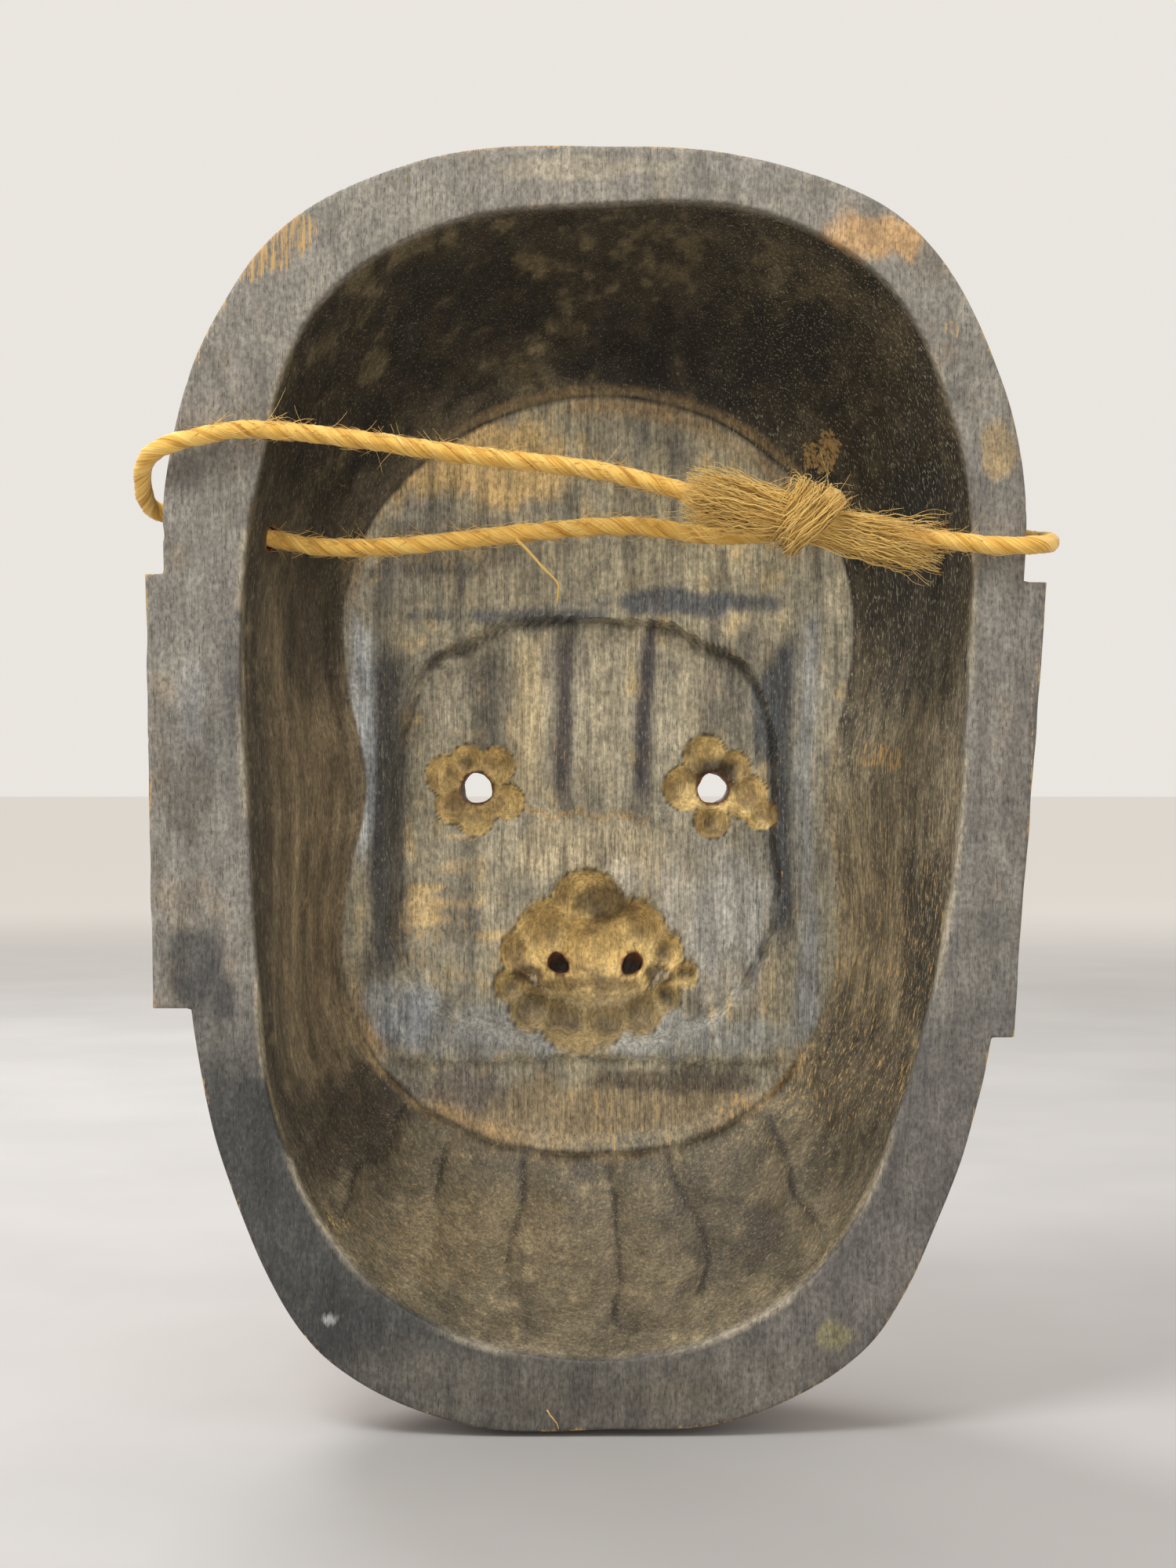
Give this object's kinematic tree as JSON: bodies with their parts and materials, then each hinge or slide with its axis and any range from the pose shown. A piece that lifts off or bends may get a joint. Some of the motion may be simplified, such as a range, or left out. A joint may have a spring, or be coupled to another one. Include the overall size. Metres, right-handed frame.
{
  "type": "carved wooden face mask with twine hanger",
  "caption": "Hollowed wooden face mask with a flat back rim, side ears, sight and air holes, and a knotted twine hanger through its side walls.",
  "frame": {"origin": "on the flat back rim, midway across its top", "axes": "+Z to the top of the mask, +Y out of the hollow towards the wall or the wearer, so the face looks towards -Y"},
  "size_m": [0.2259, 0.1233, 0.3102],
  "materials": {
    "carved_wood": "aged dark stain worn to ochre wood",
    "twine": "hairy two-ply natural fibre"
  },
  "bodies": {
    "root": {"mask_body": "carved_wood", "twine_strand": "twine", "twine_knot": "twine", "twine_tail_left": "twine", "twine_tail_right": "twine"}
  },
  "joints": []
}
